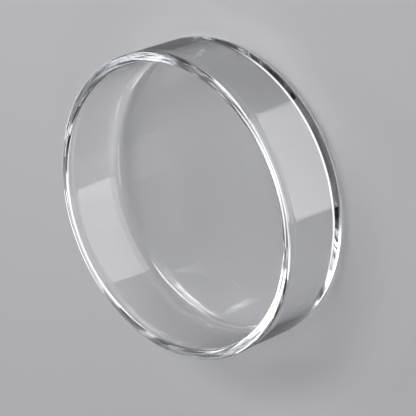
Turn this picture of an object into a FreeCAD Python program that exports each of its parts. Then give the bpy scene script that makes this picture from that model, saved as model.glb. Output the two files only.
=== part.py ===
import FreeCAD, Part

import math
import os

import Sketcher

# A low crystallizing dish: one piece of clear borosilicate glass with a flat bottom, a straight wall and
# a rounded heel. The rim is ground flat and then melted in a flame, which rounds its two edges and thickens
# it a little. All lengths are in millimetres. The dish stands upright on z = 0, its axis is Z, and its mouth
# opens towards +Z.

# Driving dimensions. Each one can be set by itself.
DIMENSIONS = (
    ("outside_diameter", 80.0, "across the rim, the widest part"),
    ("height", 21.0, "from the foot ring to the top of the rim"),
    ("wall", 2.2, "thickness of the straight wall"),
    ("floor_thickness", 2.2, "thickness of the bottom at the foot ring"),
    ("heel_outside", 3.0, "radius of the outer corner between wall and bottom"),
    ("heel_inside", 2.0, "radius of the inner corner between wall and floor"),
    ("rim_swell_outside", 0.15, "how far the polished rim stands out past the wall"),
    ("rim_swell_inside", 0.35, "how far the polished rim stands in past the wall"),
    ("rim_edge", 0.9, "radius of the rim's two melted edges"),
    ("rim_blend", 6.0, "radius of the hollow that leads from the wall into the rim"),
    ("foot_ring", 5.0, "width of the flat ring that the dish stands on"),
    ("push_up", 0.4, "how far the underside is raised at the middle"),
)

GROOVE_CLEARANCE = 1.0  # how far the underside's cutting profile reaches below the foot ring
DISH = "dish"

doc = FreeCAD.newDocument("crystallizing_dish")


def make_sheet():
    """The driving dimensions, as text cells with aliases, and the sizes worked out from them."""
    sheet = doc.addObject("Spreadsheet::Sheet", "dimensions")
    for row, (alias, value, meaning) in enumerate(DIMENSIONS, start=1):
        sheet.set(f"A{row}", alias)
        sheet.set(f"B{row}", str(value))
        sheet.set(f"C{row}", meaning)
        sheet.setAlias(f"B{row}", alias)
    worked_out = (
        ("wall_radius", "=outside_diameter / 2 - rim_swell_outside"),
        ("bore_radius", "=wall_radius - wall"),
        ("mouth_radius", "=bore_radius - rim_swell_inside"),
        ("outer_edge_centre", "=outside_diameter / 2 - rim_edge"),
        ("inner_edge_centre", "=mouth_radius + rim_edge"),
        ("edge_centre_height", "=height - rim_edge"),
        ("foot_outer_radius", "=wall_radius - heel_outside"),
        ("foot_inner_radius", "=foot_outer_radius - foot_ring"),
        ("dome_radius", "=(foot_inner_radius ^ 2 + push_up ^ 2) / (2 * push_up)"),
    )
    for row, (alias, formula) in enumerate(worked_out, start=len(DIMENSIONS) + 1):
        sheet.set(f"A{row}", alias)
        sheet.set(f"B{row}", formula)
        sheet.setAlias(f"B{row}", alias)
    doc.recompute()
    return sheet


sheet = make_sheet()


def size(alias):
    return float(sheet.get(alias))


def origin_feature(body, role):
    return next(feature for feature in body.Origin.OriginFeatures if feature.Role == role)


def point(radius, height):
    return FreeCAD.Vector(radius, height, 0)


def direction(start, end):
    """The angle, from outward, at which end lies from start."""
    return math.atan2(end.y - start.y, end.x - start.x)


def half_section(body, name):
    """An empty sketch on the body's XZ plane: across is the distance from the axis, up is the height."""
    sketch = body.newObject("Sketcher::SketchObject", name)
    sketch.AttachmentSupport = [(origin_feature(body, "XZ_Plane"), "")]
    sketch.MapMode = "FlatFace"
    return sketch


def line(sketch, start, end):
    return sketch.addGeometry(Part.LineSegment(start, end), False)


def arc(sketch, centre, radius, start_angle, end_angle):
    """A counter-clockwise arc. Angles are in radians from the outward direction."""
    circle = Part.Circle(centre, FreeCAD.Vector(0, 0, 1), radius)
    return sketch.addGeometry(Part.ArcOfCircle(circle, start_angle, end_angle), False)


def constrain(sketch, kind, *where):
    return sketch.addConstraint(Sketcher.Constraint(kind, *where))


def drive(sketch, alias, kind, *where):
    """A dimension that takes its value from the sheet."""
    index = constrain(sketch, kind, *where, size(alias))
    sketch.renameConstraint(index, f"{alias}_{index}")
    sketch.setExpression(f"Constraints[{index}]", f"{sheet.Name}.{alias}")


START, END, CENTRE = 1, 2, 3  # a sketch curve's points
AXIS, HORIZONTAL_AXIS = -2, -1  # the sketch's own two axes, which start at its origin


def blend_drop(swell):
    """How far below the rim edge's centre the hollow blend leaves a wall that the rim passes by swell."""
    reach = size("rim_blend") + size("rim_edge")
    return math.sqrt(reach**2 - (reach - swell) ** 2)


def draw_glass_section(body):
    """Half the dish's section: underside, outer heel, wall, rim, bore, inner heel, floor and axis."""
    sketch = half_section(body, "glass_section")
    wall_radius = size("wall_radius")
    bore_radius = size("bore_radius")
    heel_out = size("heel_outside")
    heel_in = size("heel_inside")
    floor = size("floor_thickness")
    blend = size("rim_blend")
    edge = size("rim_edge")
    top = size("height")
    outer_edge_centre = point(size("outer_edge_centre"), size("edge_centre_height"))
    inner_edge_centre = point(size("inner_edge_centre"), size("edge_centre_height"))
    outer_blend = point(wall_radius + blend, outer_edge_centre.y - blend_drop(size("rim_swell_outside")))
    inner_blend = point(bore_radius - blend, inner_edge_centre.y - blend_drop(size("rim_swell_inside")))
    to_outer = direction(outer_edge_centre, outer_blend)
    to_inner = direction(inner_edge_centre, inner_blend) + 2 * math.pi
    quarter = math.pi / 2

    underside = line(sketch, point(0, 0), point(wall_radius - heel_out, 0))
    outer_heel = arc(sketch, point(wall_radius - heel_out, heel_out), heel_out, -quarter, 0)
    outer_wall = line(sketch, point(wall_radius, heel_out), point(wall_radius, outer_blend.y))
    into_rim = arc(sketch, outer_blend, blend, to_outer + math.pi, math.pi)
    outer_edge = arc(sketch, outer_edge_centre, edge, to_outer, quarter)
    rim_top = line(sketch, point(outer_edge_centre.x, top), point(inner_edge_centre.x, top))
    inner_edge = arc(sketch, inner_edge_centre, edge, quarter, to_inner)
    out_of_rim = arc(sketch, inner_blend, blend, 0, to_inner - math.pi)
    bore = line(sketch, point(bore_radius, inner_blend.y), point(bore_radius, floor + heel_in))
    inner_heel = arc(sketch, point(bore_radius - heel_in, floor + heel_in), heel_in, -quarter, 0)
    floor_line = line(sketch, point(bore_radius - heel_in, floor), point(0, floor))
    axis_line = line(sketch, point(0, floor), point(0, 0))

    constrain(sketch, "Coincident", underside, START, HORIZONTAL_AXIS, START)
    constrain(sketch, "Horizontal", underside)
    constrain(sketch, "Tangent", underside, END, outer_heel, START)
    constrain(sketch, "Tangent", outer_heel, END, outer_wall, START)
    constrain(sketch, "Vertical", outer_wall)
    constrain(sketch, "Tangent", outer_wall, END, into_rim, END)
    constrain(sketch, "Tangent", into_rim, START, outer_edge, START)
    constrain(sketch, "Tangent", outer_edge, END, rim_top, START)
    constrain(sketch, "Horizontal", rim_top)
    constrain(sketch, "Tangent", rim_top, END, inner_edge, START)
    constrain(sketch, "Tangent", inner_edge, END, out_of_rim, END)
    constrain(sketch, "Tangent", out_of_rim, START, bore, START)
    constrain(sketch, "Vertical", bore)
    constrain(sketch, "Tangent", bore, END, inner_heel, END)
    constrain(sketch, "Tangent", inner_heel, START, floor_line, START)
    constrain(sketch, "Horizontal", floor_line)
    constrain(sketch, "Coincident", floor_line, END, axis_line, START)
    constrain(sketch, "Coincident", axis_line, END, underside, START)
    constrain(sketch, "Vertical", axis_line)

    drive(sketch, "wall_radius", "DistanceX", HORIZONTAL_AXIS, START, outer_wall, START)
    drive(sketch, "bore_radius", "DistanceX", HORIZONTAL_AXIS, START, bore, START)
    drive(sketch, "heel_outside", "Radius", outer_heel)
    drive(sketch, "heel_inside", "Radius", inner_heel)
    drive(sketch, "floor_thickness", "DistanceY", HORIZONTAL_AXIS, START, floor_line, START)
    drive(sketch, "height", "DistanceY", HORIZONTAL_AXIS, START, rim_top, START)
    drive(sketch, "rim_edge", "Radius", outer_edge)
    drive(sketch, "rim_edge", "Radius", inner_edge)
    drive(sketch, "outer_edge_centre", "DistanceX", HORIZONTAL_AXIS, START, outer_edge, CENTRE)
    drive(sketch, "inner_edge_centre", "DistanceX", HORIZONTAL_AXIS, START, inner_edge, CENTRE)
    drive(sketch, "rim_blend", "Radius", into_rim)
    drive(sketch, "rim_blend", "Radius", out_of_rim)
    return sketch


def draw_push_up_section(body):
    """Half the shallow hollow under the bottom: a dome inside the foot ring."""
    sketch = half_section(body, "push_up_section")
    foot = size("foot_inner_radius")
    dome = size("dome_radius")
    crown = size("push_up")
    dome_centre = point(0, crown - dome)
    rim_angle = math.atan2(-dome_centre.y, foot)

    dome_arc = arc(sketch, dome_centre, dome, rim_angle, math.pi / 2)
    side = line(sketch, point(foot, 0), point(foot, -GROOVE_CLEARANCE))
    below = line(sketch, point(foot, -GROOVE_CLEARANCE), point(0, -GROOVE_CLEARANCE))
    axis_line = line(sketch, point(0, -GROOVE_CLEARANCE), point(0, crown))

    constrain(sketch, "Coincident", dome_arc, START, side, START)
    constrain(sketch, "Vertical", side)
    constrain(sketch, "Coincident", side, END, below, START)
    constrain(sketch, "Horizontal", below)
    constrain(sketch, "Coincident", below, END, axis_line, START)
    constrain(sketch, "PointOnObject", axis_line, START, AXIS)
    constrain(sketch, "Coincident", axis_line, END, dome_arc, END)
    constrain(sketch, "PointOnObject", dome_arc, END, AXIS)
    constrain(sketch, "PointOnObject", dome_arc, CENTRE, AXIS)
    constrain(sketch, "PointOnObject", dome_arc, START, HORIZONTAL_AXIS)
    drive(sketch, "foot_inner_radius", "DistanceX", HORIZONTAL_AXIS, START, dome_arc, START)
    drive(sketch, "push_up", "DistanceY", HORIZONTAL_AXIS, START, dome_arc, END)
    constrain(sketch, "DistanceY", side, END, HORIZONTAL_AXIS, START, GROOVE_CLEARANCE)
    return sketch


def turned(body, kind, name, sketch):
    """A full turn of a half section about the dish's axis."""
    feature = body.newObject(kind, name)
    feature.Profile = sketch
    feature.ReferenceAxis = (origin_feature(body, "Z_Axis"), [""])
    feature.Angle = 360.0
    return feature


def make_dish():
    body = doc.addObject("PartDesign::Body", DISH)
    body.Label = DISH
    turned(body, "PartDesign::Revolution", "glass", draw_glass_section(body))
    doc.recompute()
    whole = body.Shape.Volume
    turned(body, "PartDesign::Groove", "push_up_hollow", draw_push_up_section(body))
    doc.recompute()
    body.Placement = FreeCAD.Placement()
    cap = math.pi * size("push_up") * (3 * size("foot_inner_radius") ** 2 + size("push_up") ** 2) / 6
    removed = whole - body.Shape.Volume
    if abs(removed - cap) > 0.01 * cap:
        raise RuntimeError(f"the push-up took {removed:.1f} mm3 and not {cap:.1f} mm3")
    return body


def check_document(bodies):
    """Stops if any object of the document failed or a sub-part isn't one closed, valid solid."""
    for item in doc.Objects:
        if {"Invalid", "Error"} & set(item.State):
            raise RuntimeError(f"{item.Name} failed: {item.State}")
    for sketch in doc.findObjects("Sketcher::SketchObject"):
        if sketch.solve() != 0:
            raise RuntimeError(f"{sketch.Name} can't be solved")
    for body in bodies:
        shape = body.Shape
        if shape.isNull() or not shape.isValid() or len(shape.Solids) != 1:
            raise RuntimeError(f"{body.Label} isn't one valid solid")


def write_parts(bodies):
    os.makedirs("parts", exist_ok=True)
    for body in bodies:
        body.Shape.exportStep(f"parts/{body.Label}.step")
        box = body.Shape.optimalBoundingBox()
        print(
            f"{body.Label}: {box.XLength:.2f} x {box.YLength:.2f} x {box.ZLength:.2f} mm, "
            f"{body.Shape.Volume / 1000:.2f} cm3, from z {box.ZMin:.3f} to {box.ZMax:.3f}"
        )


bodies = [make_dish()]
doc.recompute()
check_document(bodies)
write_parts(bodies)
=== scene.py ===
# %% [markdown]
# # A crystallizing dish in clear glass
# The model is one piece of laboratory glass: a low round dish with a flat bottom, an upright wall, a
# rounded heel inside and out, and a rim that is a little thicker than the wall. The frame comes from the
# design, so every size and place is already settled. What is left is to make the glass look like glass,
# and with clear glass that means three things: a surface with the small unevenness of real glass, a
# finish that bends light properly, and a studio that gives the edges something bright and something dark
# to show.

# %% Load the frame
import math

import bmesh
import bpy
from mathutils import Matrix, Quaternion, Vector, noise


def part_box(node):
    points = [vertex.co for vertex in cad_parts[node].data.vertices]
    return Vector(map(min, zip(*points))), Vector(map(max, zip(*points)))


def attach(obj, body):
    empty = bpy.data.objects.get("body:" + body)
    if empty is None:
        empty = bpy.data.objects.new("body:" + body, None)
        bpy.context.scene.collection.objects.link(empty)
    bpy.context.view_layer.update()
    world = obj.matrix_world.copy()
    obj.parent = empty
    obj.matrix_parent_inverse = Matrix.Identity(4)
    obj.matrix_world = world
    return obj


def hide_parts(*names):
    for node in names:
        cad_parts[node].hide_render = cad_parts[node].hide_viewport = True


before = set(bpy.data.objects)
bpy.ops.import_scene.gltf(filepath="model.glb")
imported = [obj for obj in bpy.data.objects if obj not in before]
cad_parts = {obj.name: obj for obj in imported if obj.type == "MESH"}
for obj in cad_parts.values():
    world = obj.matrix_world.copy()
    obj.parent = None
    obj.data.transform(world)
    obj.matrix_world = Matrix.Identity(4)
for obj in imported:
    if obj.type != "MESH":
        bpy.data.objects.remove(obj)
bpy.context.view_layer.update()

MM = 0.001
dish_low, dish_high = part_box("dish")
outside_radius = (dish_high.x - dish_low.x) / 2
height = dish_high.z - dish_low.z
middle = Vector((0, 0, height / 2))
print(f"the dish is {2 * outside_radius / MM:.1f} mm across and {height / MM:.1f} mm high")

# %% [markdown]
# ## Camera
# A long lens half a metre away looks down into the mouth at about 42 degrees. The camera is also rolled
# a long way over, so in the picture the dish seems to stand on its edge with its mouth to the left. The
# other way to get that pose would be to stand the dish up, but then it would leave the frame it was
# designed in. Rolling the camera leaves the dish flat on its foot.

# %% Place the camera
CAMERA_DISTANCE = 556.6 * MM
CAMERA_RISE = 42.38
CAMERA_ROLL = 111.05
CAMERA_LENS = 190.4
CAMERA_BEARING = -90
AIM_OFFSET = Vector((-3.33 * MM, -1.67 * MM, 0))
NEAREST_SEEN = 10 * MM
FARTHEST_SEEN = 20


def direction(bearing, rise):
    """The way from the dish to something at a bearing (0 is +X, 90 is +Y) and a rise above the floor."""
    turned, lifted = math.radians(bearing), math.radians(rise)
    level = math.cos(lifted)
    return Vector((math.cos(turned) * level, math.sin(turned) * level, math.sin(lifted)))


def place_camera():
    place = middle + CAMERA_DISTANCE * direction(CAMERA_BEARING, CAMERA_RISE)
    gaze = (middle + AIM_OFFSET - place).to_track_quat("-Z", "Y")
    camera = bpy.data.objects.new("camera", bpy.data.cameras.new("camera"))
    bpy.context.scene.collection.objects.link(camera)
    camera.data.lens = CAMERA_LENS
    camera.data.clip_start = NEAREST_SEEN
    camera.data.clip_end = FARTHEST_SEEN
    camera.location = place
    camera.rotation_mode = "QUATERNION"
    camera.rotation_quaternion = gaze @ Quaternion((0, 0, 1), -math.radians(CAMERA_ROLL))
    bpy.context.scene.camera = camera
    return camera


camera = place_camera()
print("the camera stands at", [round(c / MM) for c in camera.location], "mm")

# %% [markdown]
# ## How turned shapes are made
# The dish and its floor are both round, so both start as a line drawn in the X-Z plane. Corners are
# rounded with a bevel, long stretches are cut into shorter ones, and a spin carries the line round the Z
# axis. A stack of primitives could make the dish too, but every join would then show as a line in the
# clear glass. One turned section has no joins.

# %% Tools for turned shapes
HAIR = 0.001 * MM


def draw_line(points):
    bm = bmesh.new()
    corners = [bm.verts.new((radius, 0, z)) for radius, z in points]
    for start, end in zip(corners, corners[1:]):
        bm.edges.new((start, end))
    return bm, corners


def round_corner(bm, corner, radius, segments):
    bmesh.ops.bevel(bm, geom=[corner], offset=radius, affect="VERTICES", segments=segments, profile=0.5,
                    material=-1)


def cut_edges(bm, spacing, above=-math.inf):
    """Cut every edge longer than the spacing, or only those higher than a given level."""
    for edge in list(bm.edges):
        cuts = int(edge.calc_length() / spacing)
        if cuts > 0 and min(v.co.z for v in edge.verts) > above:
            bmesh.ops.subdivide_edges(bm, edges=[edge], cuts=cuts)


def turn(bm, steps):
    bmesh.ops.spin(bm, geom=bm.verts[:] + bm.edges[:], cent=(0, 0, 0), axis=(0, 0, 1), angle=2 * math.pi,
                   steps=steps, use_merge=True)
    bmesh.ops.remove_doubles(bm, verts=bm.verts, dist=HAIR)
    bmesh.ops.recalc_face_normals(bm, faces=bm.faces)


def make_piece(name, bm, material):
    mesh = bpy.data.meshes.new(name)
    bm.to_mesh(mesh)
    bm.free()
    mesh.materials.append(material)
    mesh.shade_smooth()
    piece = bpy.data.objects.new(name, mesh)
    bpy.context.scene.collection.objects.link(piece)
    return piece


def smooth_step(low, high, value):
    """0 at the low value, 1 at the high value and an easy curve between them."""
    part = min(max((value - low) / (high - low), 0), 1)
    return part * part * (3 - 2 * part)


def set_inputs(node, **numbers):
    for name, number in numbers.items():
        node.inputs[name.replace("_", " ")].default_value = number


# %% [markdown]
# ## Floor and backdrop
# One pale surface makes the floor and then sweeps up all round, so low views have a pale wall behind
# them too. It sits a hair below the dish, because a foot never touches a table everywhere. It glows a
# little, and more far from the dish, the way a studio sweep lit from outside does, and that keeps its
# tone even.
#
# A glass wall is a weak mirror, and a plain floor in that mirror says nothing about the wall. So the
# floor steps aside for light that has already been mirrored once. A real floor couldn't do that. What
# the wall then shows is a soft card below floor level, with clean edges that follow the curve of the
# glass.

# %% Build the floor
FLOOR_RADIUS = 1.5
SWEEP_RADIUS = 0.35
SWEEP_TOP = 0.7
FLOOR_STEPS = 96
SWEEP_SEGMENTS = 16
CONTACT_GAP = 0.03 * MM
FLOOR_GREY = (0.33, 0.33, 0.335)
FLOOR_ROUGHNESS = 0.6
FLOOR_GLOW = 0.10
SWEEP_GLOW = 0.40
GLOW_STARTS = 0.2
GLOW_FULL = 1.0


def paint_floor():
    material = bpy.data.materials.new("pale_floor")
    material.use_nodes = True
    nodes, links = material.node_tree.nodes, material.node_tree.links
    paint = nodes["Principled BSDF"]
    set_inputs(paint, Base_Color=(*FLOOR_GREY, 1), Roughness=FLOOR_ROUGHNESS, Specular_IOR_Level=0.0,
               Emission_Color=(1, 1, 1, 1))

    where = nodes.new("ShaderNodeTexCoord")
    away = nodes.new("ShaderNodeVectorMath")
    away.operation = "LENGTH"
    links.new(where.outputs["Object"], away.inputs[0])
    glow = nodes.new("ShaderNodeMapRange")
    set_inputs(glow, From_Min=GLOW_STARTS, From_Max=GLOW_FULL, To_Min=FLOOR_GLOW, To_Max=SWEEP_GLOW)
    links.new(away.outputs["Value"], glow.inputs["Value"])
    links.new(glow.outputs["Result"], paint.inputs["Emission Strength"])

    path = nodes.new("ShaderNodeLightPath")
    mirrored = nodes.new("ShaderNodeMath")
    mirrored.operation = "GREATER_THAN"
    mirrored.inputs[1].default_value = 0.5
    see_through = nodes.new("ShaderNodeBsdfTransparent")
    choice = nodes.new("ShaderNodeMixShader")
    links.new(path.outputs["Glossy Depth"], mirrored.inputs[0])
    links.new(mirrored.outputs[0], choice.inputs["Fac"])
    links.new(paint.outputs[0], choice.inputs[1])
    links.new(see_through.outputs[0], choice.inputs[2])
    links.new(choice.outputs[0], nodes["Material Output"].inputs["Surface"])
    return material


def build_floor():
    edge = FLOOR_RADIUS + SWEEP_RADIUS
    bm, corners = draw_line(((0, -CONTACT_GAP), (edge, -CONTACT_GAP), (edge, SWEEP_TOP)))
    round_corner(bm, corners[1], SWEEP_RADIUS, SWEEP_SEGMENTS)
    turn(bm, FLOOR_STEPS)
    return make_piece("floor", bm, paint_floor())


floor = build_floor()
print("floor faces", len(floor.data.polygons))

# %% [markdown]
# ## Lights
# Every light is a soft rectangular card aimed at the dish. Its place is given as a bearing and a rise,
# and its size as the angle it fills seen from the dish, because that is what decides which part of a
# glass edge it lights up. The long card below the front shows in the near wall and again in the far one,
# and a smaller one hangs below the back. The key and the two strips on the +X side whiten the rim and
# the heel, and the far strip and far card do the same for the opposite side.

# %% Place the lights
CARD_DISTANCE = 0.85
CARDS = (  # name, bearing, rise, width and height in degrees, brightness, distance
    ("card_below_front", -90, -42, 58, 26, 2.1, 0.6),
    ("card_below_back", 66, -28, 22, 16, 4.0, 0.8),
    ("side_strip", 52, 30, 15, 12, 14.0, CARD_DISTANCE),
    ("key", -10, 56, 44, 20, 10.0, CARD_DISTANCE),
    ("low_strip", 5, 17, 70, 11, 3.0, CARD_DISTANCE),
    ("far_strip", 158, 16, 14, 12, 4.4, CARD_DISTANCE),
    ("far_card", 222, 42, 26, 10, 3.0, CARD_DISTANCE),
)
CARD_COLOUR = (1, 1, 1.04)


def hang_card(name, bearing, rise, wide, tall, brightness, distance):
    light = bpy.data.lights.new(name, "AREA")
    light.shape = "RECTANGLE"
    light.size = 2 * distance * math.tan(math.radians(wide / 2))
    light.size_y = 2 * distance * math.tan(math.radians(tall / 2))
    light.energy = brightness * math.pi * light.size * light.size_y
    light.color = CARD_COLOUR
    card = bpy.data.objects.new(name, light)
    card.location = middle + distance * direction(bearing, rise)
    card.rotation_euler = (middle - card.location).to_track_quat("-Z", "Y").to_euler()
    bpy.context.scene.collection.objects.link(card)


for card in CARDS:
    hang_card(*card)
print("cards of light:", ", ".join(card[0] for card in CARDS))

# %% [markdown]
# ## Surroundings
# Above the floor the studio is dark, so the edges of the glass keep thin dark lines that hold its
# outline against the pale floor. Straight below it is bright. Light that runs down inside the wall comes
# out of the foot in that direction, and it is what makes the rim show as fine white lines. Only mirrored
# light gets there, because the floor covers it from everything else.

# %% Shade the surroundings
SURROUNDINGS = (  # from straight down (0) through level (0.5) to straight up (1)
    (0.00, (1.15, 1.15, 1.18, 1)),
    (0.08, (1.15, 1.15, 1.18, 1)),
    (0.12, (0.14, 0.14, 0.145, 1)),
    (0.50, (0.06, 0.06, 0.063, 1)),
    (0.51, (0.05, 0.05, 0.053, 1)),
)


def shade_surroundings():
    world = bpy.data.worlds.new("studio")
    bpy.context.scene.world = world
    world.use_nodes = True
    nodes, links = world.node_tree.nodes, world.node_tree.links
    looking = nodes.new("ShaderNodeTexCoord")
    parts = nodes.new("ShaderNodeSeparateXYZ")
    rise = nodes.new("ShaderNodeMapRange")
    set_inputs(rise, From_Min=-1)
    ramp = nodes.new("ShaderNodeValToRGB")
    stops = ramp.color_ramp.elements
    while len(stops) < len(SURROUNDINGS):
        stops.new(0.5)
    for stop, (position, colour) in zip(stops, SURROUNDINGS):
        stop.position, stop.color = position, colour
    links.new(looking.outputs["Generated"], parts.inputs[0])
    links.new(parts.outputs["Z"], rise.inputs["Value"])
    links.new(rise.outputs["Result"], ramp.inputs["Fac"])
    links.new(ramp.outputs["Color"], nodes["Background"].inputs["Color"])


shade_surroundings()
print("surroundings have", len(SURROUNDINGS), "stops")

# %% [markdown]
# ## Section of the glass
# The section runs from the middle of the underside, out along the foot, up the wall, over the rim and
# back across the inner floor. Four corners are rounded: the outer heel, the two edges of the rim and the
# inner heel. The rim is then widened a little more inwards than outwards, and the middle of the
# underside is raised so that the dish stands on a ring.
#
# A rim and an inner heel shaped on a turning machine keep faint rings from the tool, even after the
# flame has smoothed them. They are far too shallow to feel, and they change the look of the rim only a
# little. They could be a bump in the finish, but a bump can't move the outline. So the rings are pressed
# into the section itself.

# %% Draw the section
WALL = 2.2 * MM
BOTTOM = 2.2 * MM
HEEL_OUTSIDE = 3.0 * MM
HEEL_INSIDE = 2.0 * MM
SWELL_OUTSIDE = 0.15 * MM
SWELL_INSIDE = 0.35 * MM
SWELL_HEIGHT = 3.0 * MM
RIM_EDGE = 0.9 * MM
FOOT_RING = 5.0 * MM
PUSH_UP = 0.4 * MM
SPACING = 1.1 * MM
RIM_SPACING = 0.1 * MM
RIM_ZONE = 2.0 * MM
RING_DEPTH = 0.03 * MM
RING_SPACING = 0.95 * MM
HEEL_RING_SHARE = 0.6
OUTER_HEEL_SEGMENTS = 20
RIM_EDGE_SEGMENTS = 16
INNER_HEEL_SEGMENTS = 24
SLACK = 0.01 * MM
BORE_SLACK = 0.1 * MM
RINGS_START_IN = 1.6 * HEEL_INSIDE
RINGS_END_UP = 1.5 * HEEL_INSIDE

wall_radius = outside_radius - SWELL_OUTSIDE
bore_radius = wall_radius - WALL
foot_inner_radius = wall_radius - HEEL_OUTSIDE - FOOT_RING


def draw_section():
    bm, corners = draw_line(((0, 0), (wall_radius, 0), (wall_radius, height), (bore_radius, height),
                             (bore_radius, BOTTOM), (0, BOTTOM)))
    round_corner(bm, corners[1], HEEL_OUTSIDE, OUTER_HEEL_SEGMENTS)
    round_corner(bm, corners[2], RIM_EDGE, RIM_EDGE_SEGMENTS)
    round_corner(bm, corners[3], RIM_EDGE, RIM_EDGE_SEGMENTS)
    round_corner(bm, corners[4], HEEL_INSIDE, INNER_HEEL_SEGMENTS)
    cut_edges(bm, SPACING)
    cut_edges(bm, RIM_SPACING, above=height - RIM_ZONE)
    return bm


def swell_rim(bm):
    mid_wall = (wall_radius + bore_radius) / 2
    for vert in bm.verts:
        swell = smooth_step(height - SWELL_HEIGHT, height - RIM_EDGE, vert.co.z)
        across = (vert.co.x - mid_wall) / (WALL / 2)
        vert.co.x += swell * across * (SWELL_OUTSIDE if across > 0 else SWELL_INSIDE)


def raise_middle(bm):
    for vert in bm.verts:
        if vert.co.z < PUSH_UP and vert.co.x < foot_inner_radius:
            vert.co.z += PUSH_UP * smooth_step(foot_inner_radius, 0, vert.co.x)


def walk_section(bm):
    """The points in order, from the middle of the underside round to the middle of the inner floor."""
    here = min((v for v in bm.verts if v.co.x < HAIR), key=lambda v: v.co.z)
    chain = [here]
    while True:
        ahead = [e.other_vert(here) for e in here.link_edges if e.other_vert(here) not in chain[-2:]]
        if not ahead:
            return chain
        here = ahead[0]
        chain.append(here)


def ring_strength(place):
    """Full at the rim, a little over half on the inner heel and nothing on the wall and the floor."""
    rim = smooth_step(height - RIM_ZONE, height - RIM_EDGE, place.z)
    inner = smooth_step(bore_radius - RINGS_START_IN, bore_radius - HEEL_INSIDE, place.x)
    inner *= smooth_step(BOTTOM + RINGS_END_UP, BOTTOM + HEEL_INSIDE / 2, place.z)
    is_inside = place.z > BOTTOM - SLACK and place.x < bore_radius + BORE_SLACK
    return max(rim, HEEL_RING_SHARE * inner * is_inside)


def press_rings(bm):
    chain = walk_section(bm)
    places = [vert.co.copy() for vert in chain]
    travelled = 0
    for before, here, after, vert in zip(places, places[1:], places[2:], chain[1:]):
        travelled += (here - before).length
        along = (after - before).normalized()
        into_glass = Vector((-along.z, 0, along.x))
        ring = 0.5 - 0.5 * math.cos(2 * math.pi * travelled / RING_SPACING)
        vert.co += into_glass * RING_DEPTH * ring * ring_strength(here)


section = draw_section()
swell_rim(section)
raise_middle(section)
press_rings(section)
print("the section has", len(section.verts), "points")

# %% [markdown]
# ## Turned and let run
# The section is turned once round the axis. Hot glass then settles by a few hundredths of a millimetre,
# differently inside and outside, which is why a card mirrored in a glass wall never has quite straight
# edges. A slow noise moves the wall in and out and the inner floor up and down. It fades out near the
# rim and the foot, and the outside only moves inwards, so the dish never grows past its designed size.

# %% Turn the section
STEPS_ROUND = 400
WALL_RUN = 0.035 * MM
FLOOR_RUN = 0.02 * MM
RUN_LENGTH = 24 * MM
UPRIGHT_STRETCH = 0.8
STILL_RIM = 2 * MM
FREE_BELOW_RIM = 10 * MM
STILL_FOOT = 0.5 * MM
FREE_ABOVE_FOOT = 5 * MM
WALL_STARTS = 0.2 * MM
INSIDE_SEED = Vector((7, 3, 5))
OUTSIDE_SEED = Vector((0, 3, 5))


def let_glass_run(bm):
    for vert in bm.verts:
        outward = Vector((vert.co.x, vert.co.y, 0))
        radius = outward.length
        outward.normalize()
        is_inside = vert.co.z > BOTTOM - SLACK and radius < wall_radius - WALL / 2
        seed = INSIDE_SEED if is_inside else OUTSIDE_SEED
        wave = noise.noise(Vector((vert.co.x, vert.co.y, UPRIGHT_STRETCH * vert.co.z)) / RUN_LENGTH + seed)
        on_wall = smooth_step(bore_radius - HEEL_INSIDE, bore_radius - WALL_STARTS, radius)
        below_rim = smooth_step(height - STILL_RIM, height - FREE_BELOW_RIM, vert.co.z)
        above_foot = smooth_step(STILL_FOOT, FREE_ABOVE_FOOT, vert.co.z)
        if is_inside:
            vert.co += outward * wave * WALL_RUN * on_wall * below_rim
            vert.co.z += (1 - on_wall) * wave * FLOOR_RUN
        else:
            vert.co -= outward * (0.5 + 0.5 * wave) * WALL_RUN * on_wall * below_rim * above_foot


turn(section, STEPS_ROUND)
let_glass_run(section)
open_edges = sum(edge.is_boundary or edge.is_wire for edge in section.edges)
triangles = sum(len(face.verts) - 2 for face in section.faces)
print("the turned dish has", triangles, "triangles and", open_edges, "open edges")

# %% [markdown]
# ## Clear glass
# The glass is colourless borosilicate: it passes all the light, bends it as that glass does and has only
# a breath of cool tint, which shows where the light has travelled a long way through the wall. The tint
# is absorption inside the glass and not a colour on its surface, so thin parts stay clear and thick
# parts deepen.
#
# A clean dish still isn't perfect. Wiping leaves a faint uneven haze, and the ring it stands on is
# lightly scuffed. Both are small changes of roughness, so they only soften what is mirrored and never
# look painted on.

# %% Make the glass
GLASS_IOR = 1.474
GLASS_TINT = (0.90, 0.95, 0.97, 1)
TINT_DENSITY = 5.0
WIPE_HAZE = 0.02
HAZE_SCALE = 75
HAZE_DETAIL = 4
HAZE_BAND = (0.52, 0.72)
FOOT_WEAR = 0.05
SCUFF_SCALE = 450
SCUFF_DETAIL = 5
SCUFF_BAND = (0.45, 0.75)
SCUFFED_HEIGHT = (0.02 * MM, 0.12 * MM)


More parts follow.
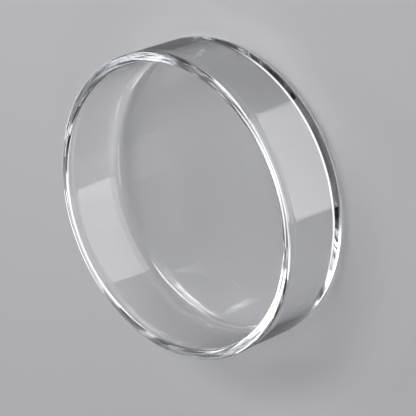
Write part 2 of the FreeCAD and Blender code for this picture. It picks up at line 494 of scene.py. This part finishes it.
def make_glass():
    glass = bpy.data.materials.new("clear_glass")
    glass.use_nodes = True
    nodes, links = glass.node_tree.nodes, glass.node_tree.links
    shader = nodes["Principled BSDF"]
    set_inputs(shader, Base_Color=(1, 1, 1, 1), IOR=GLASS_IOR, Transmission_Weight=1.0)
    where = nodes.new("ShaderNodeTexCoord").outputs["Object"]

    def grain(scale, detail):
        texture = nodes.new("ShaderNodeTexNoise")
        set_inputs(texture, Scale=scale, Detail=detail)
        links.new(where, texture.inputs["Vector"])
        return texture.outputs["Fac"]

    def spread(value, given, wanted):
        fit = nodes.new("ShaderNodeMapRange")
        set_inputs(fit, From_Min=given[0], From_Max=given[1], To_Min=wanted[0], To_Max=wanted[1])
        links.new(value, fit.inputs["Value"])
        return fit.outputs["Result"]

    def combine(operation, first, second):
        both = nodes.new("ShaderNodeMath")
        both.operation = operation
        links.new(first, both.inputs[0])
        links.new(second, both.inputs[1])
        return both.outputs[0]

    parts = nodes.new("ShaderNodeSeparateXYZ")
    links.new(where, parts.inputs[0])
    haze = spread(grain(HAZE_SCALE, HAZE_DETAIL), HAZE_BAND, (0, WIPE_HAZE))
    on_foot = spread(parts.outputs["Z"], SCUFFED_HEIGHT, (1, 0))
    scuffs = spread(grain(SCUFF_SCALE, SCUFF_DETAIL), SCUFF_BAND, (0, FOOT_WEAR))
    links.new(combine("ADD", haze, combine("MULTIPLY", on_foot, scuffs)), shader.inputs["Roughness"])

    tint = nodes.new("ShaderNodeVolumeAbsorption")
    set_inputs(tint, Color=GLASS_TINT, Density=TINT_DENSITY)
    links.new(tint.outputs[0], nodes["Material Output"].inputs["Volume"])
    return glass


dish_glass = make_piece("dish_glass", section, make_glass())
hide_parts("dish")
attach(dish_glass, "root")
print("glass piece", dish_glass.name, "has", len(dish_glass.data.vertices), "points")

# %% [markdown]
# ## Light paths
# Light can turn many corners inside a glass rim before it gets out, so the paths are allowed to be long.
# Blurring of mirrored light is off, which keeps the bright lines thin.

# %% Finish
LONGEST_PATH = 24

scene = bpy.context.scene
scene.view_settings.view_transform = "Standard"
scene.cycles.blur_glossy = 0
scene.cycles.max_bounces = LONGEST_PATH
scene.cycles.glossy_bounces = LONGEST_PATH
scene.cycles.transmission_bounces = LONGEST_PATH
